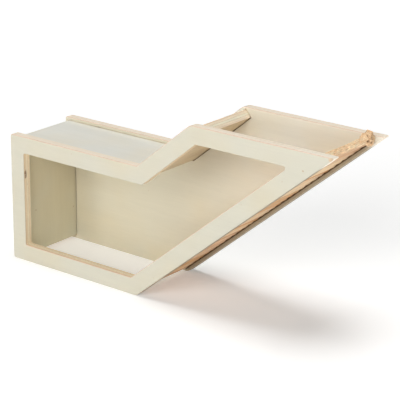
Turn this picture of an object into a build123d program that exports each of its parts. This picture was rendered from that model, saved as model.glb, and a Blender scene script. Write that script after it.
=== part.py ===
from build123d import *
from math import sin, cos, tan, radians
import os

# Burrow-entrance house for small pets: two shaped plywood panels held apart by an end
# wall, a roof board, a shaft board and a ramp of round sticks. No floor and no lid.
# Millimetres. +Z up, +X towards the raised open end, -Y the windowed side.
# The origin is at the middle of the footprint box, on the surface the house stands on.

# ---- overall sizes
overall_length = 416.5       # left edge of the panels to the rounded raised tip
overall_height = 200.0       # bottom edge to the top edge beside the shaft mouth
overall_depth = 98.0         # outer face to outer face of the two panels
chamber_height = 143.2       # height of the low, boxy part
chamber_top_length = 178.8   # top edge of the low part, up to the notch
slope_angle = 39.7           # the shaft's rise, in degrees

# ---- sheets and boards
panel_thickness = 10.0
board_thickness = 10.0
board_margin = 4.2           # boards sit this far inside the panels' edges
window_border = 18.8         # frame left around the window

# ---- housing joints
housing_depth = 3.0          # how far each board and stick goes into a panel
housing_clearance = 0.5      # gap beside a board in its groove
housing_bevel = 0.5          # eased mouth of each groove

# ---- shaft board
shaft_board_reach = 90.0     # from the notch corner to its square-cut upper end

# ---- ramp sticks
stick_diameter = 8.0
stick_gap = 1.23             # space between neighbouring sticks
tenon_clearance = 0.1        # around the top stick's tenons
stick_groove_play = 1.0      # above and below the sticks' ends in their long groove
first_stick_at = 2.3         # along the slope, from the panels' lower corner
top_stick_diameter = 7.2     # the rough stick at the mouth
top_stick_tenon_diameter = 5.0
stick_end_rounding = 0.4

# ---- corners and edges
square_corner_radius = 3.0   # the two left corners
bend_radius = 10.0           # the two wide corners at the slope's ends
notch_radius = 4.0
tip_radius = 0.8
window_corner_radius = 2.0
edge_easing = 0.6            # softened panel edges
board_easing = 0.4


# ---- derived places, measured from the panels' lower left front corner
slope = radians(slope_angle)
along_x, along_z = cos(slope), sin(slope)        # unit step up the slope
tip_shortening = tip_radius * (1 / tan(slope / 2) - 1)  # rounding takes this off the sharp tip
sharp_tip_x = overall_length + tip_shortening
lower_corner_x = sharp_tip_x - overall_height / tan(slope)
crest_x = chamber_top_length + (overall_height - chamber_height) / tan(slope)
gap_between_panels = overall_depth - 2 * panel_thickness
board_length = gap_between_panels + 2 * housing_depth
stick_pitch = stick_diameter + stick_gap
roof_top = chamber_height - board_margin
roof_underside = roof_top - board_thickness

outline = [
    (0.0, 0.0),
    (0.0, chamber_height),
    (chamber_top_length, chamber_height),
    (crest_x, overall_height),
    (sharp_tip_x, overall_height),
    (lower_corner_x, 0.0),
]
outline_radii = [square_corner_radius, square_corner_radius, notch_radius, bend_radius,
                 tip_radius, bend_radius]


def to_row(x, z):
    """Corner-based length and height to the row frame's X and Z."""
    return (x - overall_length / 2, z)


def on_ramp(along, inward):
    """Point measured up the panels' long slanted edge, and inward from it."""
    return (lower_corner_x + along * along_x - inward * along_z,
            along * along_z + inward * along_x)


def on_shaft(along, inward):
    """Point measured up the panels' short slanted edge from the notch, and inward from it."""
    return (chamber_top_length + along * along_x + inward * along_z,
            chamber_height + along * along_z - inward * along_x)


def shaft_at_height(height, inward):
    """Point of that slanted line at one height."""
    along = (height - chamber_height + inward * along_x) / along_z
    return on_shaft(along, inward)


def inset(points, distance):
    """Polygon with every side moved inward by one distance."""
    count = len(points)
    lines = []
    for i in range(count):
        (x1, z1), (x2, z2) = points[i], points[(i + 1) % count]
        length = ((x2 - x1) ** 2 + (z2 - z1) ** 2) ** 0.5
        ux, uz = (x2 - x1) / length, (z2 - z1) / length
        lines.append((x1 + uz * distance, z1 - ux * distance, ux, uz))
    result = []
    for i in range(count):
        ax, az, aux, auz = lines[i - 1]
        bx, bz, bux, buz = lines[i]
        det = aux * -buz + bux * auz
        step = ((bx - ax) * -buz + bux * (bz - az)) / det
        result.append((ax + aux * step, az + auz * step))
    return result


def plate_face(points, y):
    """Flat face in an XZ plane, from corner-based points; its normal is +Y."""
    plane = Plane(origin=(0, y, 0), x_dir=(1, 0, 0), z_dir=(0, -1, 0))
    return plane * make_face(Polyline(*[to_row(x, z) for x, z in points], close=True))


def prism(points, y_from, y_to):
    """Solid with an XZ profile, between two Y positions."""
    return extrude(plate_face(points, y_from), amount=y_to - y_from, dir=(0, 1, 0))


def round_upright_edges(solid, points, radii):
    """Fillet the edges that run through the plate at each profile corner."""
    for (x, z), radius in zip(points, radii):
        px, pz = to_row(x, z)
        edges = [e for e in solid.edges().filter_by(Axis.Y)
                 if abs(e.center().X - px) < 0.01 and abs(e.center().Z - pz) < 0.01]
        if edges and radius > 0:
            solid = fillet(edges, radius)
    return solid


# ---- board profiles
end_wall_profile = [
    (board_margin, board_margin),
    (board_margin, roof_underside),
    (board_margin + board_thickness, roof_underside),
    (board_margin + board_thickness, board_margin),
]
roof_profile = [
    (board_margin, roof_underside),
    (board_margin, roof_top),
    shaft_at_height(roof_top, board_margin),
    shaft_at_height(roof_underside, board_margin),
]
shaft_inner = board_margin + board_thickness
shaft_profile = [
    shaft_at_height(roof_underside, board_margin),
    on_shaft(shaft_board_reach, board_margin),
    on_shaft(shaft_board_reach, shaft_inner),
    shaft_at_height(roof_underside, shaft_inner),
]
board_profiles = [end_wall_profile, roof_profile, shaft_profile]

# ---- stick places: one row just inside the panels' long slanted edge
stick_inward = board_margin + stick_diameter / 2
top_stick_inward = board_margin + top_stick_diameter / 2
highest_along = ((overall_height - top_stick_diameter / 2 - top_stick_inward * along_x)
                 / along_z)
steps_to_top = int((highest_along - first_stick_at) / stick_pitch)
stick_places = [on_ramp(first_stick_at + i * stick_pitch, stick_inward)
                for i in range(steps_to_top)]
top_stick_place = on_ramp(first_stick_at + steps_to_top * stick_pitch, top_stick_inward)


def rod(place, diameter, y_from, y_to):
    """Round bar along Y."""
    x, z = to_row(*place)
    start = Plane(origin=(x, y_from, z), z_dir=(0, 1, 0))
    return extrude(start * Circle(diameter / 2), amount=y_to - y_from)


def board(profile):
    """Board between the panels, its ends in their grooves, its long edges eased."""
    half = board_length / 2
    solid = prism(profile, -half, half)
    return chamfer(solid.edges().filter_by(Axis.Y), board_easing)


def stick_groove(y_from, y_to):
    """One long groove for the ends of all the plain sticks, round at both ends."""
    radius = stick_diameter / 2 + stick_groove_play
    first, last = stick_places[0], stick_places[-1]
    across_x, across_z = -along_z * radius, along_x * radius
    middle = prism([(first[0] - across_x, first[1] - across_z),
                    (first[0] + across_x, first[1] + across_z),
                    (last[0] + across_x, last[1] + across_z),
                    (last[0] - across_x, last[1] - across_z)], y_from, y_to)
    return middle + rod(first, 2 * radius, y_from, y_to) + rod(last, 2 * radius, y_from, y_to)


def panel(outer_y, side):
    """Shaped panel with its grooves and tenon hole; side is +1 when it faces +Y."""
    inner_y = outer_y + side * panel_thickness
    low, high = min(outer_y, inner_y), max(outer_y, inner_y)
    solid = prism(outline, low, high)
    solid = round_upright_edges(solid, outline, outline_radii)
    if side > 0:                                   # the windowed front panel
        window = inset(outline, window_border)
        hole = prism(window, low - 1, high + 1)
        hole = round_upright_edges(hole, window, [window_corner_radius] * len(window))
        solid = solid - hole
    faces = solid.faces().filter_by(Axis.Y)
    rims = [edge for face in faces for wire in face.wires() for edge in wire.edges()]
    solid = chamfer(rims, edge_easing)
    floor_y = inner_y - side * housing_depth
    for profile in board_profiles:
        grown = inset(profile, -housing_clearance)
        solid = solid - prism(grown, min(floor_y, inner_y + side), max(floor_y, inner_y + side))
        mouth = inset(profile, -housing_clearance - housing_bevel)
        outer_rim = plate_face(mouth, inner_y)
        inner_rim = plate_face(grown, inner_y - side * housing_bevel)
        solid = solid - loft([outer_rim, inner_rim])
    groove_low, groove_high = min(floor_y, inner_y), max(floor_y, inner_y)
    solid = solid - stick_groove(groove_low, groove_high)
    tenon_hole = top_stick_tenon_diameter + 2 * tenon_clearance
    solid = solid - rod(top_stick_place, tenon_hole, groove_low, groove_high)
    return solid


def stick(place):
    """Plain round stick, its ends in the panels' long grooves."""
    half = board_length / 2
    solid = rod(place, stick_diameter, -half, half)
    return chamfer(solid.edges().filter_by(GeomType.CIRCLE), stick_end_rounding)


def top_stick(place):
    """Rough stick at the mouth: a body between the panels and a thin tenon at each end."""
    half_gap = gap_between_panels / 2
    half = board_length / 2
    return (rod(place, top_stick_diameter, -half_gap, half_gap)
            + rod(place, top_stick_tenon_diameter, -half, half))


front_y = -overall_depth / 2
nodes = {
    "front_panel": panel(front_y, +1),
    "back_panel": panel(-front_y, -1),
    "end_wall": board(end_wall_profile),
    "roof_board": board(roof_profile),
    "shaft_board": board(shaft_profile),
    "ramp_sticks": Compound(children=[stick(place) for place in stick_places]),
    "ramp_top_stick": top_stick(top_stick_place),
}

os.makedirs("parts", exist_ok=True)
for name, shape in nodes.items():
    export_step(shape, os.path.join("parts", name + ".step"))
    box = shape.bounding_box()
    print(name, len(shape.solids()), "solids", round(shape.volume), "mm3",
          [round(v, 2) for v in (box.min.X, box.min.Y, box.min.Z, box.max.X, box.max.Y, box.max.Z)])
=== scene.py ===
"""Looks for a small pet's burrow-entrance house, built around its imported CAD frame.

Two painted plywood panels stand either side of an end wall, a roof board, a shaft board and
a ramp of round sticks. The panels and boards are the frame's own pieces with new materials.
The ramp's sticks and the rough stick at its top are remade here with natural irregularity.
Metres. +Z up, +X towards the raised open end, -Y the windowed side.
"""
import math
import random
import bpy
from mathutils import Matrix, Vector, noise


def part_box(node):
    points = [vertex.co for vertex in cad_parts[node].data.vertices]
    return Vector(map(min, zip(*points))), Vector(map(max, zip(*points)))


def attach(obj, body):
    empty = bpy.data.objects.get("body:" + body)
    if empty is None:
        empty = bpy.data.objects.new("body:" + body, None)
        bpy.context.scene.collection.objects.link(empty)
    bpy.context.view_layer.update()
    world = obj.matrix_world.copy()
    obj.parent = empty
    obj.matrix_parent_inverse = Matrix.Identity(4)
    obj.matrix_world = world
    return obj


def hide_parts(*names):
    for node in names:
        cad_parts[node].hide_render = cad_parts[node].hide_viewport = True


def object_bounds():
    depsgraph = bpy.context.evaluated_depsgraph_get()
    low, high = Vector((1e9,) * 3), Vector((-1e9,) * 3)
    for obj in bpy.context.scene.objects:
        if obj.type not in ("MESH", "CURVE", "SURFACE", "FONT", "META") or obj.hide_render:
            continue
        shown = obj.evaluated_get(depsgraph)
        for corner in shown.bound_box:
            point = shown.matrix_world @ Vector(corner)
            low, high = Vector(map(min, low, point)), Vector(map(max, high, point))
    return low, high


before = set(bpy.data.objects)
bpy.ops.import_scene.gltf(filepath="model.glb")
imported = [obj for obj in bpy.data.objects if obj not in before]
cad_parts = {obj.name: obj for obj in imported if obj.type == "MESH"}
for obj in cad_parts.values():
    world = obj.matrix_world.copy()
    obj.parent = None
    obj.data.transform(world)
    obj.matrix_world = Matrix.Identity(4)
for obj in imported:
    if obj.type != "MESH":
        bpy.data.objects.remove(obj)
cad_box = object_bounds()
MM = 0.001

# ---- the house's sizes, as the part has them
CHAMBER_HEIGHT = 143.2 * MM
CHAMBER_TOP_LENGTH = 178.8 * MM
SLOPE = math.radians(39.7)
TIP_RADIUS = 0.8 * MM
PANEL_THICKNESS = 10 * MM
BOARD_THICKNESS = 10 * MM
BOARD_MARGIN = 4.2 * MM              # from the panels' outline to a board
WINDOW_BORDER = 18.8 * MM
HOUSING_DEPTH = 3 * MM
STICK_PITCH = 9.23 * MM
STICK_DIAMETER = 8 * MM
FIRST_STICK_AT = 2.3 * MM            # up the slope from the lower corner
GROOVE_EDGE = 3.2 * MM               # from the panels' ramp edge to the sticks' groove
TENON_DIAMETER = 5 * MM

ALONG = Vector((math.cos(SLOPE), 0, math.sin(SLOPE)))        # up the slope
INWARD = Vector((-math.sin(SLOPE), 0, math.cos(SLOPE)))      # from the ramp into the shaft
LEFT_EDGE = cad_box[0].x
RIGHT_TIP = cad_box[1].x
HEIGHT = cad_box[1].z
HALF_DEPTH = cad_box[1].y
SHARP_TIP = RIGHT_TIP + TIP_RADIUS * (1 / math.tan(SLOPE / 2) - 1)
LOWER_CORNER = Vector((SHARP_TIP - HEIGHT / math.tan(SLOPE), 0, 0))
NOTCH = Vector((LEFT_EDGE + CHAMBER_TOP_LENGTH, 0, CHAMBER_HEIGHT))
TIP = Vector((RIGHT_TIP, 0, HEIGHT))

# ---- plain sticks: how far each departs from a true cylinder
STICK_TURNS = 28
STICK_STATIONS = 34
STICK_BOW = 0.22 * MM
STICK_FLATTEST = 0.965               # least diameter, as a share of the greatest
STICK_UNEVEN = 0.10 * MM
STICK_FLUTE = 0.05 * MM
STICK_END_ROUND = 0.4 * MM

# ---- rough stick: angles run from +X towards +Z
ROUGH_TURNS = 150
ROUGH_STATIONS = 460
ROUGH_LOW, ROUGH_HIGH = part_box("ramp_top_stick")
ROUGH_CENTRE = (ROUGH_LOW + ROUGH_HIGH) / 2
ROUGH_RADIUS = (ROUGH_HIGH.x - ROUGH_LOW.x) / 2
RIDGE_HEIGHT = 0.40 * MM
CRUMB_HEIGHT = 0.12 * MM
LUMP_HALF_LENGTH = 5.8 * MM
LUMP_Y = ROUGH_HIGH.y - HOUSING_DEPTH - LUMP_HALF_LENGTH
LUMP_LEAN = math.radians(70)
LUMP_RISE = 3.6 * MM
LUMP_SWELL = 0.9 * MM
LUMP_KNOBS = 2.6 * MM
LUMP_FOLDS = 2.2 * MM
LUMP_CENTRE = Vector((ROUGH_CENTRE.x + 0.8 * MM, LUMP_Y, ROUGH_CENTRE.z + 1.86 * MM))
SPUR_Y = LUMP_Y - 5.2 * MM
SPUR_ANGLE = math.radians(105)
SPUR_HEIGHT = 2.6 * MM
SPUR_HALF_LENGTH = 1.5 * MM
SPUR_HALF_TURN = 0.30                # radians
PITS = [                             # Y, angle, half length, half width, depth
    (LUMP_Y - 4.6 * MM, math.radians(4), 1.4 * MM, 1.5 * MM, 4.0 * MM),
    (LUMP_Y - 1.0 * MM, math.radians(-14), 1.0 * MM, 1.2 * MM, 3.2 * MM),
    (LUMP_Y - 3.6 * MM, math.radians(62), 0.7 * MM, 0.8 * MM, 2.0 * MM),
]
NEXT_STICK_GAP = 0.2 * MM

# ---- where one look of the panels gives way to the next: each is a start and an end
BOARD_INSIDE = BOARD_MARGIN + BOARD_THICKNESS
BOARD_MIDDLE = BOARD_MARGIN + BOARD_THICKNESS / 2
BARE_PLIES = (1.5 * MM, 3 * MM)                                  # inside the outline
GROOVES_BEGIN = (GROOVE_EDGE - 1.2 * MM, GROOVE_EDGE - 0.4 * MM)      # inside the outline
GROOVES_END = (BOARD_INSIDE + 3.3 * MM, BOARD_INSIDE + 2.3 * MM)      # inside the outline
SHADED_WALL = (BOARD_MIDDLE - 1.2 * MM, BOARD_MIDDLE - 0.2 * MM)      # inside the outline
RAMP_BAND = (BOARD_INSIDE + 1.8 * MM, BOARD_INSIDE + 0.8 * MM)        # from the ramp edge
# where painted shade falls below the sticks: on the inner face's strip and on the slanted rim
DARK_STRIP = (GROOVE_EDGE + 1.2 * MM, GROOVE_EDGE + 0.2 * MM)         # from the ramp edge
DARK_RIM = (1.2 * MM, 0.6 * MM)                     # from the ramp edge
BELOW_MOUTH = (-12 * MM, -28 * MM)                  # up the slope from the tip
TOWARD_MOUTH = (20 * MM, 260 * MM)                  # up the slope from the origin
GROOVE_FLOOR = (0.04, 0.10)                         # share of the panel's thickness
BROAD_FACE = (0.80, 0.97)                           # how far the normal points along Y
EASED_EDGE = (0.55, 0.68)                           # how far the normal points along Y
OUTER_FACE = (0.2, 0.6)                             # how far the normal points outwards
TOP_EDGE = (0.15, 0.5)                              # how far the normal points up

# ---- grain, as noise cells per metre along X, Y and Z, and how deep surfaces are in relief
GRAIN_ALONG_X = (60, 700, 700)
GRAIN_ALONG_Y = (300, 60, 300)
GRAIN_ALONG_Z = (700, 700, 60)
SPECULAR = 0.35
PAINT_GRAIN_DEPTH = 0.12 * MM
ORANGE_PEEL_DEPTH = 0.05 * MM
SAW_MARK_DEPTH = 0.15 * MM
WOOD_GRAIN_DEPTH = 0.15 * MM
FIBRE_DEPTH = 0.3 * MM

# ---- marks, from the panels' tip or edges
FRONT_CHIP = TIP + Vector((-1 * MM, -HALF_DEPTH, -1 * MM))
FRONT_CHIP_REACH = 5 * MM
WORN_END = TIP + Vector((0, -HALF_DEPTH + PANEL_THICKNESS / 2, 0))
WORN_END_REACH = 50 * MM
WINDOW_KNOT = Vector((LEFT_EDGE + WINDOW_BORDER, -HALF_DEPTH + 2.6 * MM, 100 * MM))
WINDOW_KNOT_REACH = 1.9 * MM
WINDOW_KNOT_LENGTH = 3.4             # times its width
BACK_CHIP = TIP + Vector((-13 * MM, HALF_DEPTH - PANEL_THICKNESS, -4 * MM))
BACK_CHIP_REACH = 3 * MM

# ---- camera and light
CAMERA_AZIMUTH = 37.837
CAMERA_ELEVATION = 19.293
CAMERA_ROLL = 0.563
CAMERA_DISTANCE = 1.81762
CAMERA_AIM = Vector((LEFT_EDGE + 149.7 * MM, 94.55 * MM, 61.54 * MM))
CAMERA_LENS = 147.07
CAMERA_SENSOR = 36
CAMERA_CLIP = 0.05
FLOOR_SIZE = 26.0
FLOOR_WHITE = (0.90, 0.90, 0.895)
FLOOR_GLOW_NEAR = 0.26
FLOOR_GLOW_FAR = 1.0
FLOOR_GLOW_FADE = (0.3, 2.5)         # from the origin
WORLD_STRENGTH = 0.03
WALL_DISTANCE = 12.0
WALL_HEIGHT = 1.9
WALL_FOOT = -0.01
WALL_TURNS = 96
WALL_GLOW = 0.75
LIGHT_DISTANCE = 5.0
SOFT_LIGHTS = [                       # name, direction from the house, size, watts
    ("overhead", (0, 0, 1), 2.8, 161),
    ("front_right", (0.3, -1, 0.6), 2.0, 78),
    ("front_left", (-0.35, -1, 0.22), 2.0, 44),
    ("front", (0, -1, 0.36), 2.0, 12),
    ("right_behind", (0.85, 0.5, 0.2), 2.8, 16),
]

# ---- colours, linear
PAINT = (0.60, 0.575, 0.475)
PAINT_COOL = (0.825, 0.815, 0.74)
PAINT_INSIDE = (0.685, 0.642, 0.505)
# partly a paler coat, partly painted light: the panels' inner faces near the mouth, away from
# the chamber's warm bounce light
PAINT_AND_LIGHT_AT_MOUTH = (0.82, 0.785, 0.68)
PAINT_WALL_LOW = (0.71, 0.69, 0.545)
# painted shade: the end wall's paint darkens from PAINT_WALL_LOW at its foot to this at the
# chamber's top
WALL_TOP_PAINTED_SHADE = (0.57, 0.51, 0.355)
RIM_PAINT = (0.96, 0.85, 0.71)
VENEER = (0.66, 0.46, 0.26)
CREAM_PLY = (0.90, 0.79, 0.59)
CROSS_PLY = (0.86, 0.71, 0.50)
BARE_END = (0.95, 0.87, 0.73)
GLUE = (0.40, 0.24, 0.12)
KNOT_BROWN = (0.16, 0.07, 0.03)
SPECK = (0.50, 0.38, 0.24)
STICK_CREAM = (0.80, 0.60, 0.37)
STICK_TAN = (0.63, 0.39, 0.195)
STICK_ORANGE = (0.56, 0.29, 0.12)
STICK_PINK = (0.66, 0.42, 0.25)
UNDERSIDE_DARK = (0.70, 0.59, 0.41)
UNDERSIDE_PALE = (0.80, 0.71, 0.52)
# partly raw wood, partly painted shade: much darker than bare ply, for the deep shade in the
# grooves
RAW_WOOD_IN_SHADE = (0.22, 0.13, 0.06)
RUBBED = (0.76, 0.54, 0.42)
CHIP = (0.62, 0.46, 0.30)
# painted shadow of the sticks, with their brown bounce light, on the inner face's strip below
# them
STRIP_PAINTED_SHADE = (0.45, 0.38, 0.265)
# painted shade on the panels' slanted lower edge below the sticks, which faces down
RAMP_EDGE_SHADE = (0.30, 0.24, 0.155)
PLY_EDGES = [0.0, 0.13, 0.38, 0.62, 0.87, 1.0]        # shares of the thickness
GLUE_LINE = 0.012                    # half its width, as a share of the thickness
PLY_WANDER = 0.05                    # share of the thickness
SHEET_PLIES = [CREAM_PLY, CROSS_PLY, CREAM_PLY, CROSS_PLY, VENEER]    # inner face first
END_PLIES = [(0.95, 0.80, 0.62), (0.95, 0.83, 0.63), (0.97, 0.90, 0.71), (0.95, 0.82, 0.62),
             (0.93, 0.75, 0.56)]
FIBRE_PALE = (0.90, 0.70, 0.45)
FIBRE_BRIGHT = (0.92, 0.75, 0.51)
FIBRE_PINK = (0.82, 0.52, 0.29)
LUMP_BROWN = (0.68, 0.42, 0.23)
# painted shade in the rough stick's folds, pits and the valleys between its ridges
FIBRE_HOLLOW_SHADE = (0.20, 0.10, 0.045)


class Shader:
    """One material, with short calls that add its nodes and join them."""

    def __init__(self, name):
        self.material = bpy.data.materials.new(name)
        self.material.use_nodes = True
        self.nodes = self.material.node_tree.nodes
        self.links = self.material.node_tree.links
        self.principled = self.nodes["Principled BSDF"]
        self.principled.inputs["Specular IOR Level"].default_value = SPECULAR
        coordinates = self.nodes.new("ShaderNodeTexCoord")
        self.place = coordinates.outputs["Object"]
        self.normal = coordinates.outputs["Normal"]

    def add(self, kind, inputs, output=0, **settings):
        """Adds a node, feeds its inputs by name or place, and returns one of its outputs."""
        node = self.nodes.new("ShaderNode" + kind)
        for key, value in settings.items():
            setattr(node, key, value)
        for key, value in inputs.items():
            self.feed(node.inputs[key], value)
        return node.outputs[output]

    def feed(self, socket, value):
        """Links another node's output to a socket, or sets the socket's own value."""
        if isinstance(value, bpy.types.NodeSocket):
            self.links.new(value, socket)
        elif isinstance(value, tuple) and len(value) == 3 and socket.type == "RGBA":
            socket.default_value = (*value, 1)
        else:
            socket.default_value = value

    def math(self, operation, a, b=0.0, c=0.0):
        """One sum or other operation on up to three amounts."""
        return self.add("Math", {0: a, 1: b, 2: c}, operation=operation)

    def both(self, a, b):
        """Product of two masks or amounts."""
        return self.math("MULTIPLY", a, b)

    def either(self, a, b):
        """The greater of two masks or amounts."""
        return self.math("MAXIMUM", a, b)

    def opposite(self, mask):
        """1 where a mask is 0, and 0 where it is 1."""
        return self.math("SUBTRACT", 1.0, mask)

    def dot(self, vector, direction, offset=0.0):
        """How far a vector reaches along a direction, plus an offset."""
        along = self.add("VectorMath", {0: vector, 1: tuple(direction)}, "Value",
                         operation="DOT_PRODUCT")
        return self.math("ADD", along, offset)

    def axis(self, vector, index):
        """A vector's X, Y or Z, by its index."""
        return self.add("SeparateXYZ", {0: vector}, index)

    def stretch(self, vector, scale):
        """A vector times a scale for each axis."""
        return self.add("VectorMath", {0: vector, 1: tuple(scale)}, operation="MULTIPLY")

    def smooth(self, value, low, high):
        """0 at low, 1 at high, with a smooth step between."""
        return self.add("MapRange", {"Value": value, "From Min": low, "From Max": high},
                        interpolation_type="SMOOTHSTEP")

    def noise(self, vector, scale, detail, roughness=0.5, distortion=0.0):
        """Cloudy noise from 0 to 1, mostly near the middle."""
        return self.add("TexNoise", {"Vector": vector, "Scale": scale, "Detail": detail,
                                     "Roughness": roughness, "Distortion": distortion})

    def mix(self, factor, a, b):
        """Colour a where factor is 0, and b where it is 1."""
        return self.add("Mix", {0: factor, 6: a, 7: b}, 2, data_type="RGBA")

    def tint(self, colour, factor):
        """Colour made lighter or darker by a factor that varies around 1."""
        grey = self.add("CombineColor", {0: factor, 1: factor, 2: factor})
        return self.add("Mix", {0: 1.0, 6: colour, 7: grey}, 2, data_type="RGBA",
                        blend_type="MULTIPLY")

    def swing(self, value, amount):
        """Turns noise around one half into a factor around 1."""
        return self.math("MULTIPLY_ADD", self.math("SUBTRACT", value, 0.5), amount, 1.0)

    def ramp(self, factor, stops):
        """Colour from a list of places, 0 to 1, and their colours."""
        node = self.nodes.new("ShaderNodeValToRGB")
        elements = node.color_ramp.elements
        for place, _ in stops[2:]:
            elements.new(place)
        for element, (place, colour) in zip(elements, sorted(stops, key=lambda s: s[0])):
            element.position = place
            element.color = (*colour, 1)
        self.links.new(factor, node.inputs[0])
        return node.outputs[0]

    def bump(self, height, depth, below=None):
        """Relief of a depth in metres, on top of another where one is given."""
        inputs = {"Height": height, "Strength": 1.0, "Distance": depth}
        if below is not None:
            inputs["Normal"] = below
        return self.add("Bump", inputs)

    def finish(self, colour, roughness, bump):
        """Feeds what was worked out to the surface, and returns the material."""
        self.feed(self.principled.inputs["Base Color"], colour)
        self.feed(self.principled.inputs["Roughness"], roughness)
        self.feed(self.principled.inputs["Normal"], bump)
        return self.material


# ---- what the materials share
def from_ramp_edge(shader):
    """How far a point lies inside the panels' slanted lower edge."""
    return shader.dot(shader.place, INWARD, -INWARD.dot(LOWER_CORNER))


def inset_from_outline(shader):
    """How far a point lies inside the panels' outline, whatever its Y."""
    place = shader.place
    left = shader.dot(place, (1, 0, 0), -LEFT_EDGE)
    bottom = shader.dot(place, (0, 0, 1))
    ramp_side = from_ramp_edge(shader)
    top = shader.dot(place, (0, 0, -1), HEIGHT)
    low_top = shader.dot(place, (0, 0, -1), CHAMBER_HEIGHT)
    shaft_side = shader.dot(place, -INWARD, INWARD.dot(NOTCH))
    inset = shader.either(low_top, shaft_side)
    for side in (left, bottom, ramp_side, top):
        inset = shader.math("MINIMUM", inset, side)
    return inset


def near(shader, point, reach, length=1.0):
    """1 around a point, falling to 0 at a distance, which length stretches upwards."""
    offset = shader.add("VectorMath", {0: shader.place, 1: tuple(point)}, operation="SUBTRACT")
    away = shader.add("VectorMath", {0: shader.stretch(offset, (1, 1, 1 / length))}, "Value",
                      operation="LENGTH")
    return shader.smooth(away, reach, reach * 0.6)


def ply_layers(shader, depth, streaks, plies):
    """Cut plywood: five plies of alternate grain with thin glue lines. depth is 0 to 1."""
    stops = []
    for index, colour in enumerate(plies):
        stops.append((PLY_EDGES[index] + GLUE_LINE, colour))
        stops.append((PLY_EDGES[index + 1] - GLUE_LINE, colour))
        if index < len(plies) - 1:
            stops.append((PLY_EDGES[index + 1], GLUE))
    wander = shader.noise(shader.place, 45.0, 1.0)
    wander = shader.math("MULTIPLY_ADD", wander, PLY_WANDER, -PLY_WANDER / 2)
    layers = shader.ramp(shader.math("ADD", depth, wander), stops)
    fibres = shader.noise(streaks, 1.0, 4.0, 0.6)
    return shader.tint(layers, shader.swing(fibres, 0.5))


def veneer_grain(shader, scale):
    """Soft streaks and fine pores of a sliced face veneer, stretched along its grain."""
    wide_scale = [0.12 * part for part in scale]
    wide = shader.noise(shader.stretch(shader.place, wide_scale), 1.0, 3.0, 0.55, 0.6)
    fine = shader.noise(shader.stretch(shader.place, scale), 1.0, 4.0, 0.6)
    return wide, fine


def paint_film(shader, colour, grain_scale):
    """Thin sprayed paint over veneer: returns its colour, its roughness and its bump."""
    wide, fine = veneer_grain(shader, grain_scale)
    cloud = shader.noise(shader.place, 13.0, 2.0)
    warm = shader.add("Mix", {0: 1.0, 6: colour, 7: (1.02, 0.975, 0.90)}, 2, data_type="RGBA",
                      blend_type="MULTIPLY")
    colour = shader.mix(shader.smooth(cloud, 0.35, 0.75), colour, warm)
    colour = shader.tint(colour, shader.swing(wide, 0.10))
    colour = shader.tint(colour, shader.swing(fine, 0.07))
    specks = shader.noise(shader.place, 130.0, 1.0)
    colour = shader.mix(shader.smooth(specks, 0.785, 0.83), colour, SPECK)
    orange_peel = shader.noise(shader.place, 900.0, 2.0)
    roughness = shader.math("MULTIPLY_ADD", orange_peel, 0.18, 0.46)
    bump = shader.bump(fine, PAINT_GRAIN_DEPTH)
    bump = shader.bump(orange_peel, ORANGE_PEEL_DEPTH, bump)
    return colour, roughness, bump


def bare_wood(shader, dark, pale, grain_scale):
    """Planed bare wood: its colour, between two tones along its grain, and its roughness."""
    wide, fine = veneer_grain(shader, grain_scale)
    colour = shader.ramp(shader.smooth(wide, 0.25, 0.75), [(0.0, dark), (1.0, pale)])
    colour = shader.tint(colour, shader.swing(fine, 0.35))
    return colour, shader.math("MULTIPLY_ADD", fine, 0.2, 0.58)


# ---- painted panels
class PanelPlace:
    """Where a point is on a panel: distances in metres, and masks from 0 to 1."""

    def __init__(self, shader, outward):
        along_y = shader.axis(shader.normal, 1)
        turned_out = shader.math("ABSOLUTE", along_y)
        self.inset = inset_from_outline(shader)
        self.from_ramp_edge = from_ramp_edge(shader)
        self.by_grooves = shader.both(shader.smooth(self.inset, *GROOVES_BEGIN),
                                      shader.smooth(self.inset, *GROOVES_END))
        eased = shader.both(shader.smooth(turned_out, *EASED_EDGE),
                            shader.opposite(self.by_grooves))
        self.broad = shader.either(shader.smooth(turned_out, *BROAD_FACE), eased)
        self.outer = shader.smooth(shader.both(along_y, outward), *OUTER_FACE)
        self.inner = shader.opposite(self.outer)
        up_slope = shader.dot(shader.place, ALONG, -ALONG.dot(TIP))
        self.below_mouth = shader.smooth(up_slope, *BELOW_MOUTH)
        away = shader.math("ABSOLUTE", shader.axis(shader.place, 1))
        from_inside = shader.math("SUBTRACT", away, HALF_DEPTH - PANEL_THICKNESS)
        self.depth = shader.both(from_inside, 1 / PANEL_THICKNESS)


def panel_film(shader, at, face_colour, inner_colour):
    """Paint of the broad faces, rubbed along the top. Inside it is lighter and cooler towards
    the mouth: partly more paint there, partly painted light for the dimmer, warmer bounce light
    deeper in.
    """
    toward_mouth = shader.smooth(shader.dot(shader.place, ALONG), *TOWARD_MOUTH)
    # partly paint, partly painted light: the inner faces grow lighter and cooler towards the
    # mouth
    inside = shader.mix(toward_mouth, inner_colour, PAINT_AND_LIGHT_AT_MOUTH)
    film = shader.mix(at.outer, inside, face_colour)
    film, roughness, bump = paint_film(shader, film, GRAIN_ALONG_X)
    top_edge = shader.smooth(shader.axis(shader.normal, 2), *TOP_EDGE)
    patches = shader.smooth(shader.noise(shader.place, 60.0, 3.0), 0.05, 0.45)
    rubbed = shader.both(shader.both(top_edge, patches), 0.8)
    return shader.mix(rubbed, film, RUBBED), roughness, bump


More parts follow.
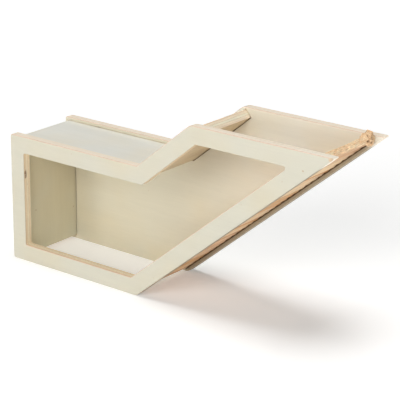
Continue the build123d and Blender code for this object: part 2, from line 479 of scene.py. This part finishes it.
def panel_rim(shader, at):
    """Cut edges: thin paint at the outline, bare plies in the window, and raw wood in the
    grooves, darkened with painted shade where a groove's wall lies in shade.
    """
    streaks = shader.stretch(shader.place, (160, 1900, 160))
    plies = ply_layers(shader, at.depth, streaks, SHEET_PLIES)
    knots = shader.noise(shader.stretch(shader.place, (70, 420, 70)), 1.0, 2.0)
    plies = shader.mix(shader.smooth(knots, 0.74, 0.80), plies, KNOT_BROWN)
    thin_paint = shader.math("MULTIPLY_ADD", shader.noise(shader.place, 70.0, 3.0), 0.20, 0.66)
    painted = shader.mix(thin_paint, plies, RIM_PAINT)
    rim = shader.mix(shader.smooth(at.inset, *BARE_PLIES), painted, plies)
    shaded = shader.either(shader.smooth(at.inset, *SHADED_WALL),
                           shader.smooth(at.from_ramp_edge, *RAMP_BAND))
    # painted shade: the shaded walls of the grooves turn dark raw wood
    return shader.mix(shader.both(at.by_grooves, shaded), rim, RAW_WOOD_IN_SHADE)


def front_marks(shader, film, rim):
    """The windowed panel's chipped tip, bare worn end and knot in the window's left side."""
    ragged = shader.smooth(shader.noise(shader.place, 300.0, 2.0), 0.38, 0.50)
    chip = near(shader, FRONT_CHIP, FRONT_CHIP_REACH)
    film = shader.mix(shader.both(chip, ragged), film, CHIP)
    broken = shader.both(shader.smooth(shader.noise(shader.place, 500.0, 2.0), 0.36, 0.50), 0.8)
    knot = near(shader, WINDOW_KNOT, WINDOW_KNOT_REACH, WINDOW_KNOT_LENGTH)
    rim = shader.mix(shader.both(knot, broken), rim, KNOT_BROWN)
    worn = shader.both(near(shader, WORN_END, WORN_END_REACH), 0.75)
    return film, shader.mix(worn, rim, BARE_END)


def back_marks(shader, film, rim):
    """The back panel's small chip, inside near its tip."""
    ragged = shader.smooth(shader.noise(shader.place, 420.0, 2.0), 0.42, 0.50)
    chip = near(shader, BACK_CHIP, BACK_CHIP_REACH)
    return shader.mix(shader.both(chip, ragged), film, CROSS_PLY), rim


def shade_grooves(shader, at, film, rim):
    """Painted shade below the sticks: a darker rim on the slanted edge and a darker, browner
    strip on the inner face. Also raw wood, darkened by painted shade, on the grooves' floors.
    """
    # painted shade: the slanted rim and the inner strip below the sticks darken
    dark_rim = shader.smooth(at.from_ramp_edge, *DARK_RIM)
    rim = shader.mix(shader.both(dark_rim, at.below_mouth), rim, RAMP_EDGE_SHADE)
    strip = shader.both(shader.smooth(at.from_ramp_edge, *DARK_STRIP), at.inner)
    film = shader.mix(shader.both(strip, at.below_mouth), film, STRIP_PAINTED_SHADE)
    # painted shade: the grooves' floors turn dark raw wood too
    groove_floor = shader.both(shader.smooth(at.depth, *GROOVE_FLOOR), at.inner)
    return shader.mix(groove_floor, film, RAW_WOOD_IN_SHADE), rim


def panel_material(name, outward, marks, face_colour, inner_colour):
    """Painted plywood sheet. outward is -1 for the windowed panel, 1 for the back one."""
    shader = Shader(name)
    at = PanelPlace(shader, outward)
    film, roughness, bump = panel_film(shader, at, face_colour, inner_colour)
    film, rim = marks(shader, film, panel_rim(shader, at))
    film, rim = shade_grooves(shader, at, film, rim)
    saw = shader.noise(shader.stretch(shader.place, (900, 120, 900)), 1.0, 2.0)
    bump = shader.bump(shader.both(saw, shader.opposite(at.broad)), SAW_MARK_DEPTH, bump)
    return shader.finish(shader.mix(at.broad, rim, film), roughness, bump)


# ---- boards, sticks and torn fibre
def board_material(name, painted_sides, paint, bare_tones, grain_scale, thickness_axis,
                   start, plies=SHEET_PLIES, top_shade=None):
    """A board between the panels. Sides whose normal lies along painted_sides wear paint.

    thickness_axis is its normal, and start is where it begins along that. Where a top colour
    is given, the paint darkens to it towards the chamber's top: painted shade, for the shadow of
    the roof and front panel.
    """
    shader = Shader(name)
    if top_shade is not None:
        # painted shade: darker towards the chamber's top, where the roof and front panel shade
        # the wall
        rise = shader.smooth(shader.axis(shader.place, 2), 0.0, CHAMBER_HEIGHT)
        paint = shader.mix(rise, paint, top_shade)
    film, film_roughness, _ = paint_film(shader, paint, grain_scale)
    bare, bare_roughness = bare_wood(shader, *bare_tones, grain_scale)
    depth = shader.both(shader.dot(shader.place, thickness_axis, -start), 1 / BOARD_THICKNESS)
    cut = ply_layers(shader, depth, shader.stretch(shader.place, (1500, 60, 1500)), plies)
    facing = shader.dot(shader.normal, thickness_axis)
    on_edge = shader.smooth(shader.math("ABSOLUTE", facing), 0.9, 0.7)
    covered = 0.0
    for side in painted_sides:
        covered = shader.either(covered, shader.smooth(shader.both(facing, side), 0.7, 0.9))
    colour = shader.mix(on_edge, shader.mix(covered, bare, film), cut)
    roughness = shader.add("Mix", {0: covered, 2: bare_roughness, 3: film_roughness})
    grain = shader.noise(shader.stretch(shader.place, grain_scale), 1.0, 3.0)
    return shader.finish(colour, roughness, shader.bump(grain, WOOD_GRAIN_DEPTH))


def stick_material(name):
    """Bare round sticks: each has its own tint, with grain that runs along it."""
    shader = Shader(name)
    along = shader.dot(shader.place, ALONG, -ALONG.dot(LOWER_CORNER) - FIRST_STICK_AT)
    index = shader.math("FLOOR", shader.both(along, 1 / STICK_PITCH))
    chance = shader.add("TexWhiteNoise", {"W": index}, noise_dimensions="1D")
    tint = shader.ramp(chance, [(0.0, STICK_TAN), (0.3, STICK_CREAM), (0.55, STICK_PINK),
                                (0.8, STICK_ORANGE), (1.0, STICK_CREAM)])
    offset = shader.add("CombineXYZ", {0: index, 1: index, 2: 0.0})
    shifted = shader.add("VectorMath", {0: shader.stretch(shader.place, (420, 22, 420)),
                                        1: offset}, operation="ADD")
    streaks = shader.noise(shifted, 1.0, 4.0, 0.6, 0.4)
    fine = shader.noise(shader.stretch(shader.place, (2600, 110, 2600)), 1.0, 3.0)
    colour = shader.tint(tint, shader.swing(streaks, 1.1))
    colour = shader.tint(colour, shader.swing(fine, 0.25))
    marks = shader.noise(shader.stretch(shader.place, (240, 90, 240)), 1.0, 2.0)
    colour = shader.mix(shader.smooth(marks, 0.74, 0.80), colour, KNOT_BROWN)
    roughness = shader.math("MULTIPLY_ADD", fine, 0.2, 0.55)
    return shader.finish(colour, roughness, shader.bump(fine, WOOD_GRAIN_DEPTH))


def fibre_material(name):
    """Torn, fibrous wood. The mesh's own "hollow" attribute darkens its folds and pits with
    painted shade.
    """
    shader = Shader(name)
    blotch = shader.noise(shader.stretch(shader.place, (210, 90, 210)), 1.0, 3.0, 0.6, 0.5)
    colour = shader.ramp(blotch, [(0.38, FIBRE_PINK), (0.58, FIBRE_PALE), (0.76, FIBRE_BRIGHT)])
    fine = shader.noise(shader.stretch(shader.place, (1400, 160, 1400)), 1.0, 4.0, 0.65)
    colour = shader.tint(colour, shader.swing(fine, 1.6))
    lump = near(shader, LUMP_CENTRE, 2 * LUMP_HALF_LENGTH + 0.4 * MM)
    colour = shader.mix(shader.both(lump, 0.35), colour, LUMP_BROWN)
    hollow = shader.add("Attribute", {}, "Fac", attribute_name="hollow")
    # painted shade in the hollows
    colour = shader.mix(hollow, colour, FIBRE_HOLLOW_SHADE)
    roughness = shader.math("MULTIPLY_ADD", fine, 0.2, 0.72)
    return shader.finish(colour, roughness, shader.bump(fine, FIBRE_DEPTH))


def dress(node, material):
    """Puts a material on one of the frame's own pieces."""
    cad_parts[node].data.materials[0] = material


# ---- pieces made here
def add_tube_faces(faces, start, turns, stations):
    """Faces of one closed tube whose rings of vertices begin at start."""
    for station in range(stations - 1):
        for turn in range(turns):
            a = start + station * turns + turn
            b = start + station * turns + (turn + 1) % turns
            faces.append((a, b, b + turns, a + turns))
    last = start + (stations - 1) * turns
    faces.append(tuple(range(start + turns - 1, start - 1, -1)))
    faces.append(tuple(range(last, last + turns)))


def solid_mesh(name, vertices, faces):
    """Smooth-shaded mesh whose flat end caps stay flat."""
    mesh = bpy.data.meshes.new(name)
    mesh.from_pydata(vertices, [], faces)
    mesh.polygons.foreach_set("use_smooth", [len(face) == 4 for face in faces])
    mesh.update()
    return mesh


def place_piece(name, mesh, material, slot, *replaced):
    """Makes an object of a mesh, which stands for the CAD nodes that it replaces."""
    piece = bpy.data.objects.new(name, mesh)
    bpy.context.scene.collection.objects.link(piece)
    mesh.materials.append(material)
    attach(piece, "root")
    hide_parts(*replaced)


def direction(angle):
    """Unit vector across a stick, at an angle from +X towards +Z."""
    return Vector((math.cos(angle), 0, math.sin(angle)))


def whittled_stick(index, centre, low_y, high_y):
    """Rings of one plain stick's vertices: a little bowed, oval and uneven."""
    chance = random.Random(index)
    bow = Vector((chance.uniform(-1, 1), 0, chance.uniform(-1, 1))) * STICK_BOW
    squash = chance.uniform(STICK_FLATTEST, 1.0)
    lean = chance.uniform(0, math.pi)
    vertices = []
    for station in range(STICK_STATIONS):
        share = station / (STICK_STATIONS - 1)
        y = low_y + (high_y - low_y) * share
        from_end = min(share, 1 - share) * (high_y - low_y)
        middle = centre + bow * math.sin(math.pi * share) + Vector((0, y, 0))
        for turn in range(STICK_TURNS):
            angle = 2 * math.pi * turn / STICK_TURNS
            around = direction(angle)
            oval = 1 - (1 - squash) * math.sin(angle - lean) ** 2
            uneven = noise.noise(Vector((around.x * 1.3 + index * 7, y * 40, around.z * 1.3)))
            flute = noise.noise(Vector((around.x * 5, y * 25 + index * 3, around.z * 5)))
            radius = STICK_DIAMETER / 2 * oval + STICK_UNEVEN * uneven + STICK_FLUTE * flute
            radius -= max(0.0, STICK_END_ROUND - from_end)
            vertices.append(tuple(middle + around * radius))
    return vertices


def sticks_in_ramp(material):
    """The ramp's plain sticks, all in one mesh."""
    low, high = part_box("ramp_sticks")
    first = Vector((low.x + STICK_DIAMETER / 2, 0, low.z + STICK_DIAMETER / 2))
    count = round((high.z - low.z - STICK_DIAMETER) / (STICK_PITCH * ALONG.z)) + 1
    vertices, faces = [], []
    for index in range(count):
        add_tube_faces(faces, len(vertices), STICK_TURNS, STICK_STATIONS)
        vertices += whittled_stick(index, first + ALONG * (STICK_PITCH * index), low.y, high.y)
    mesh = solid_mesh("ramp_sticks_whittled", vertices, faces)
    place_piece("ramp_sticks_whittled", mesh, material, "stick_wood", "ramp_sticks")


def turn_between(angle, other):
    """Signed turn from other to angle, between -pi and pi."""
    return math.atan2(math.sin(angle - other), math.cos(angle - other))


def torn_body(spot, y):
    """Radius of the rough stick's torn body at a point, and the ridges it is made of."""
    slow = noise.noise(spot * 85)
    ridges = noise.fractal(Vector((spot.x * 560, y * 75, spot.z * 560)), 0.9, 2.1, 4)
    crumbs = noise.fractal(spot * 520 + Vector((7, 3, 1)), 0.7, 2.2, 3)
    radius = ROUGH_RADIUS * (0.98 + 0.12 * slow) + RIDGE_HEIGHT * ridges + CRUMB_HEIGHT * crumbs
    return radius, ridges


def lump_and_spur(spot, y, angle):
    """How far the lump and its spur stand out at a point, and how deep its folds are there."""
    lump = math.exp(-((y - LUMP_Y) / LUMP_HALF_LENGTH) ** 4)
    upward = 0.60 + 0.40 * math.cos(angle - LUMP_LEAN)
    wide = spot * 1.7
    knobs = noise.fractal(wide * 190 + Vector((2, 9, 4)), 0.9, 2.0, 3)
    folds = abs(noise.fractal(wide * 330 + Vector((5, 1, 8)), 0.9, 2.2, 3))
    height = lump * (LUMP_RISE * upward + LUMP_KNOBS * knobs - LUMP_FOLDS * folds + LUMP_SWELL)
    spur = math.hypot((y - SPUR_Y) / SPUR_HALF_LENGTH,
                      turn_between(angle, SPUR_ANGLE) / SPUR_HALF_TURN)
    return height + SPUR_HEIGHT * math.exp(-spur ** 2), lump * folds


def dig_pits(radius, hollow, y, angle):
    """Takes the pits out of a radius, and marks them as hollow."""
    for pit_y, pit_angle, half_length, half_width, depth in PITS:
        sideways = turn_between(angle, pit_angle) * radius
        gap = math.hypot((y - pit_y) / half_length, sideways / half_width)
        dent = math.exp(-gap ** 4)
        radius -= depth * dent
        hollow = max(hollow, dent)
    return radius, hollow


def next_stick():
    """From the rough stick's middle to the middle of the plain stick below it."""
    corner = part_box("ramp_sticks")[1]
    offset = Vector((corner.x - ROUGH_CENTRE.x, 0, corner.z - ROUGH_CENTRE.z))
    return offset - Vector((STICK_DIAMETER / 2, 0, STICK_DIAMETER / 2))


def room_to_next(around, to_next):
    """How far a ray from the rough stick's middle runs before it meets the stick below it."""
    next_radius = STICK_DIAMETER / 2 + NEXT_STICK_GAP
    along = around.dot(to_next)
    across_squared = to_next.length_squared - along ** 2
    if along <= 0 or across_squared >= next_radius ** 2:
        return math.inf
    return along - math.sqrt(next_radius ** 2 - across_squared)


def rough_radius(around, y, angle, to_next):
    """Radius of the rough stick at a point, and how hollow it is there, from 0 to 1."""
    if min(y - ROUGH_LOW.y, ROUGH_HIGH.y - y) < HOUSING_DEPTH:
        return TENON_DIAMETER / 2, 0.0
    spot = around * ROUGH_RADIUS + Vector((0, y, 0))
    radius, ridges = torn_body(spot, y)
    height, folds = lump_and_spur(spot, y, angle)
    hollow = min(0.7, max(0.0, -ridges - 0.25) * 0.8 + folds * 0.6)
    radius, hollow = dig_pits(radius + height, hollow, y, angle)
    radius = min(radius, room_to_next(around, to_next))
    return max(radius, TENON_DIAMETER / 2), hollow


def rough_stick(material):
    """Torn, knotted stick along the mouth's lower edge, with a gnarled lump at its back end."""
    to_next = next_stick()
    vertices, hollows, faces = [], [], []
    for station in range(ROUGH_STATIONS):
        y = ROUGH_LOW.y + (ROUGH_HIGH.y - ROUGH_LOW.y) * station / (ROUGH_STATIONS - 1)
        middle = Vector((ROUGH_CENTRE.x, y, ROUGH_CENTRE.z))
        for turn in range(ROUGH_TURNS):
            angle = 2 * math.pi * turn / ROUGH_TURNS
            around = direction(angle)
            radius, hollow = rough_radius(around, y, angle, to_next)
            vertices.append(tuple(middle + around * radius))
            hollows.append(hollow)
    add_tube_faces(faces, 0, ROUGH_TURNS, ROUGH_STATIONS)
    mesh = solid_mesh("rough_top_stick", vertices, faces)
    layer = mesh.attributes.new("hollow", "FLOAT", "POINT")
    layer.data.foreach_set("value", hollows)
    place_piece("rough_top_stick", mesh, material, "rough_stick", "ramp_top_stick")


# ---- stage
def place_stage(name, vertices, faces, material):
    """Makes a piece of the stage, which isn't part of the house."""
    mesh = bpy.data.meshes.new(name)
    mesh.from_pydata(vertices, [], faces)
    mesh.materials.append(material)
    piece = bpy.data.objects.new(name, mesh)
    bpy.context.scene.collection.objects.link(piece)


def pale_material(name, cloud_scale, cloud_detail, cloud):
    """Nearly white and faintly clouded, with a white glow whose strength is set later."""
    shader = Shader(name)
    shader.principled.inputs["Roughness"].default_value = 0.9
    clouds = shader.noise(shader.place, cloud_scale, cloud_detail)
    colour = shader.tint(FLOOR_WHITE, shader.swing(clouds, cloud))
    shader.feed(shader.principled.inputs["Base Color"], colour)
    shader.principled.inputs["Emission Color"].default_value = (1, 1, 1, 1)
    return shader


def pale_floor():
    """Floor that glows a little more away from the house."""
    shader = pale_material("floor_white", 3.0, 2.0, 0.01)
    shader.principled.inputs["Specular IOR Level"].default_value = 0.0
    away = shader.add("VectorMath", {0: shader.place}, "Value", operation="LENGTH")
    glow = shader.math("MULTIPLY_ADD", shader.smooth(away, *FLOOR_GLOW_FADE),
                       FLOOR_GLOW_FAR - FLOOR_GLOW_NEAR, FLOOR_GLOW_NEAR)
    shader.feed(shader.principled.inputs["Emission Strength"], glow)
    half = FLOOR_SIZE / 2
    corners = [(-half, -half, 0), (half, -half, 0), (half, half, 0), (-half, half, 0)]
    place_stage("floor", corners, [(0, 1, 2, 3)], shader.material)


def backdrop():
    """Far, faintly lit wall all round, so that a low view has a pale background too."""
    shader = pale_material("backdrop_white", 0.1, 1.0, 0.02)
    shader.principled.inputs["Emission Strength"].default_value = WALL_GLOW
    vertices, faces = [], []
    for turn in range(WALL_TURNS):
        angle = 2 * math.pi * turn / WALL_TURNS
        x, y = WALL_DISTANCE * math.cos(angle), WALL_DISTANCE * math.sin(angle)
        vertices += [(x, y, WALL_FOOT), (x, y, WALL_HEIGHT)]
        after = (turn + 1) % WALL_TURNS
        faces.append((2 * turn, 2 * turn + 1, 2 * after + 1, 2 * after))
    place_stage("backdrop", vertices, faces, shader.material)


def studio():
    """Pale surroundings and large soft lights, mostly in front and above."""
    pale_floor()
    backdrop()
    world = bpy.data.worlds.new("studio")
    world.use_nodes = True
    background = world.node_tree.nodes["Background"]
    background.inputs["Color"].default_value = (1, 1, 1, 1)
    background.inputs["Strength"].default_value = WORLD_STRENGTH
    bpy.context.scene.world = world
    for light in SOFT_LIGHTS:
        add_light(*light)


def add_light(name, toward, size, watts):
    """Large round soft light that faces the house."""
    light = bpy.data.lights.new(name, "AREA")
    light.shape = "DISK"
    light.size = size
    light.energy = watts
    lamp = bpy.data.objects.new(name, light)
    bpy.context.scene.collection.objects.link(lamp)
    middle = (cad_box[0] + cad_box[1]) / 2
    lamp.location = middle + Vector(toward).normalized() * LIGHT_DISTANCE
    lamp.rotation_euler = (middle - lamp.location).to_track_quat("-Z", "Y").to_euler()


def camera():
    """The view that the house is matched from."""
    azimuth, elevation, roll = map(math.radians, (CAMERA_AZIMUTH, CAMERA_ELEVATION, CAMERA_ROLL))
    back = Vector((math.sin(azimuth) * math.cos(elevation),
                   -math.cos(azimuth) * math.cos(elevation), math.sin(elevation)))
    level = Vector((0, 0, 1)).cross(back).normalized()
    upright = back.cross(level)
    right = level * math.cos(roll) + upright * math.sin(roll)
    up = upright * math.cos(roll) - level * math.sin(roll)
    turn = Matrix((right, up, back)).transposed().to_4x4()
    data = bpy.data.cameras.new("camera")
    data.lens = CAMERA_LENS
    data.sensor_width = CAMERA_SENSOR
    data.clip_start = CAMERA_CLIP
    eye = bpy.data.objects.new("camera", data)
    bpy.context.scene.collection.objects.link(eye)
    eye.matrix_world = Matrix.Translation(CAMERA_AIM + back * CAMERA_DISTANCE) @ turn
    bpy.context.scene.camera = eye


# ---- putting it together
def dress_panels():
    """Paint for both panels, each with its own marks."""
    front = panel_material("painted_ply_front", -1, front_marks, PAINT, PAINT_INSIDE)
    back = panel_material("painted_ply_back", 1, back_marks, PAINT, PAINT_INSIDE)
    dress("front_panel", front)
    dress("back_panel", back)


def dress_boards():
    """Paint for the end wall and roof, and mostly bare wood for the shaft board."""
    plain_tones = (VENEER, CREAM_PLY)
    shaft_start = (NOTCH - INWARD * (BOARD_MARGIN + BOARD_THICKNESS)).dot(INWARD)
    dress("end_wall", board_material(
        "painted_end_wall", painted_sides=(-1, 1), paint=PAINT_WALL_LOW,
        bare_tones=plain_tones, grain_scale=GRAIN_ALONG_Z, thickness_axis=(1, 0, 0),
        start=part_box("end_wall")[0].x, top_shade=WALL_TOP_PAINTED_SHADE))
    dress("roof_board", board_material(
        "painted_roof", painted_sides=(-1, 1), paint=PAINT_COOL, bare_tones=plain_tones,
        grain_scale=GRAIN_ALONG_X, thickness_axis=(0, 0, 1), start=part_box("roof_board")[0].z))
    dress("shaft_board", board_material(
        "bare_shaft_board", painted_sides=(1,), paint=PAINT_COOL,
        bare_tones=(UNDERSIDE_DARK, UNDERSIDE_PALE), grain_scale=GRAIN_ALONG_Y,
        thickness_axis=tuple(INWARD), start=shaft_start, plies=END_PLIES))


bpy.context.scene.view_settings.view_transform = "Standard"
camera()
studio()
dress_panels()
dress_boards()
sticks_in_ramp(stick_material("bare_sticks"))
rough_stick(fibre_material("torn_fibre"))
